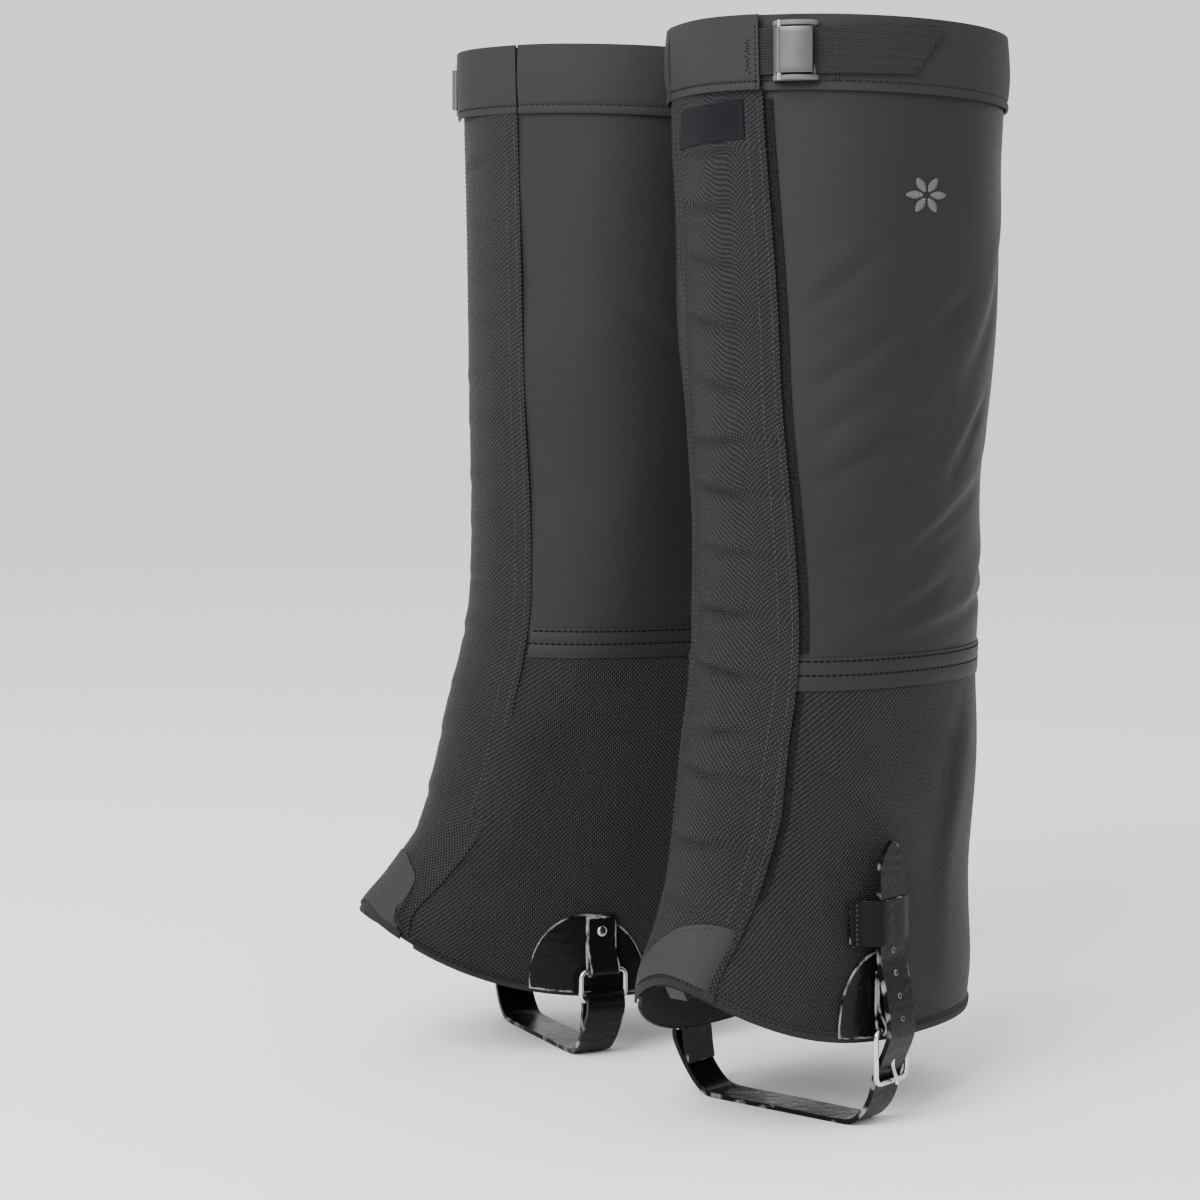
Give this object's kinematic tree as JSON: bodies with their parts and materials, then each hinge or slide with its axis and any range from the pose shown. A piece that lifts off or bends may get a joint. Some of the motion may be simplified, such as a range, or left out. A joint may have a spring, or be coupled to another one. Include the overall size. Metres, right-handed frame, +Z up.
{
  "type": "hiking gaiters",
  "caption": "Pair of tall hiking gaiters in worn shape: two-fabric tubes with a full front flap, cam-buckle collar strap and buckled instep strap.",
  "frame": {"origin": "on the ground line midway between the two gaiters, level with the underside of the instep straps", "axes": "+Z up the leg, toes towards -Y, wearer's left gaiter at +X"},
  "size_m": [0.3135, 0.2124, 0.477],
  "materials": {
    "laminate": "matte coated laminate, soft creases",
    "packcloth": "coarse woven nylon packcloth",
    "collar_cloth": "soft brushed nylon",
    "binding_tape": "woven binding tape",
    "fastening_tape": "hook and loop pile",
    "toe_cloth": "matte rubberised cloth",
    "bright_metal": "polished wire",
    "patch_leather": "glossy coated leather with worn edges",
    "strap_leather": "glossy coated strap",
    "keeper_leather": "semi-gloss coated strip",
    "thread": "satin stitch",
    "buckle_plastic": "satin moulded plastic",
    "lever_metal": "satin brushed plate",
    "webbing": "tight woven nylon webbing",
    "label_cloth": "satin woven label"
  },
  "bodies": {
    "left_gaiter": {"left_upper_panel": "laminate", "left_lower_panel": "packcloth", "left_seam_tape": "laminate", "left_collar": "collar_cloth", "left_hem_binding": "binding_tape", "left_hook_tape": "fastening_tape", "left_outer_patch": "patch_leather", "left_inner_patch": "patch_leather", "left_embroidery": "thread", "left_instep_strap": "strap_leather", "left_strap_keeper": "keeper_leather", "left_buckle_tab": "patch_leather", "left_tab_rivet": "bright_metal", "left_ring_tab": "patch_leather", "left_strap_ring": "bright_metal", "left_ring_rivet": "bright_metal", "left_cam_body": "buckle_plastic", "left_cam_pin": "bright_metal"},
    "left_flap": {"left_front_flap": "packcloth", "left_flap_collar": "collar_cloth", "left_loop_tape": "fastening_tape", "left_toe_patch": "toe_cloth", "left_lace_hook": "bright_metal", "left_woven_label": "label_cloth"},
    "left_cam_lever_body": {"left_cam_lever": "lever_metal"},
    "left_top_strap_body": {"left_top_strap": "webbing"},
    "left_buckle_body": {"left_buckle_frame": "bright_metal"},
    "left_prong_body": {"left_buckle_prong": "bright_metal"},
    "right_gaiter": {"right_upper_panel": "laminate", "right_lower_panel": "packcloth", "right_seam_tape": "laminate", "right_collar": "collar_cloth", "right_hem_binding": "binding_tape", "right_hook_tape": "fastening_tape", "right_outer_patch": "patch_leather", "right_inner_patch": "patch_leather", "right_embroidery": "thread", "right_instep_strap": "strap_leather", "right_strap_keeper": "keeper_leather", "right_buckle_tab": "patch_leather", "right_tab_rivet": "bright_metal", "right_ring_tab": "patch_leather", "right_strap_ring": "bright_metal", "right_ring_rivet": "bright_metal", "right_cam_body": "buckle_plastic", "right_cam_pin": "bright_metal"},
    "right_flap": {"right_front_flap": "packcloth", "right_flap_collar": "collar_cloth", "right_loop_tape": "fastening_tape", "right_toe_patch": "toe_cloth", "right_lace_hook": "bright_metal"},
    "right_cam_lever_body": {"right_cam_lever": "lever_metal"},
    "right_top_strap_body": {"right_top_strap": "webbing"},
    "right_buckle_body": {"right_buckle_frame": "bright_metal"},
    "right_prong_body": {"right_buckle_prong": "bright_metal"}
  },
  "joints": [
    {"name": "gaiters_apart", "type": "slide", "parent": "left_gaiter", "child": "right_gaiter", "axis": [-1, 0, 0], "range_m": [0, 0.25]},
    {"name": "left_flap_peel", "type": "hinge", "parent": "left_gaiter", "child": "left_flap", "pos_m": [0.04497, -0.06672, 0.47], "axis": [0.0537, -0.0507, -0.9973], "range_deg": [0, 60]},
    {"name": "left_cam_lever", "type": "hinge", "parent": "left_gaiter", "child": "left_cam_lever_body", "pos_m": [0.11961, -0.07122, 0.461], "axis": [0, 0, -1], "range_deg": [0, 75]},
    {"name": "left_strap_adjust", "type": "hinge", "parent": "left_gaiter", "child": "left_top_strap_body", "pos_m": [0.0775, 0, 0.461], "axis": [0, 0, 1], "range_deg": [-6, 10]},
    {"name": "left_buckle_swing", "type": "hinge", "parent": "left_gaiter", "child": "left_buckle_body", "pos_m": [0.13801, -0.02346, 0.043], "axis": [0.2164, -0.9763, 0], "range_deg": [0, 10]},
    {"name": "left_prong_lift", "type": "hinge", "parent": "left_buckle_body", "child": "left_prong_body", "pos_m": [0.13801, -0.02346, 0.043], "axis": [0.2164, -0.9763, 0], "range_deg": [0, 5]},
    {"name": "right_flap_peel", "type": "hinge", "parent": "right_gaiter", "child": "right_flap", "pos_m": [-0.06043, -0.07548, 0.47], "axis": [0.0272, 0.0517, 0.9983], "range_deg": [0, 60]},
    {"name": "right_cam_lever", "type": "hinge", "parent": "right_gaiter", "child": "right_cam_lever_body", "pos_m": [-0.13685, -0.05733, 0.461], "axis": [0, 0, 1], "range_deg": [0, 75]},
    {"name": "right_strap_adjust", "type": "hinge", "parent": "right_gaiter", "child": "right_top_strap_body", "pos_m": [-0.0775, 0, 0.461], "axis": [0, 0, -1], "range_deg": [-6, 10]},
    {"name": "right_buckle_swing", "type": "hinge", "parent": "right_gaiter", "child": "right_buckle_body", "pos_m": [-0.13801, -0.02346, 0.043], "axis": [0.2164, 0.9763, 0], "range_deg": [0, 10]},
    {"name": "right_prong_lift", "type": "hinge", "parent": "right_buckle_body", "child": "right_prong_body", "pos_m": [-0.13801, -0.02346, 0.043], "axis": [0.2164, 0.9763, 0], "range_deg": [0, 5]}
  ]
}
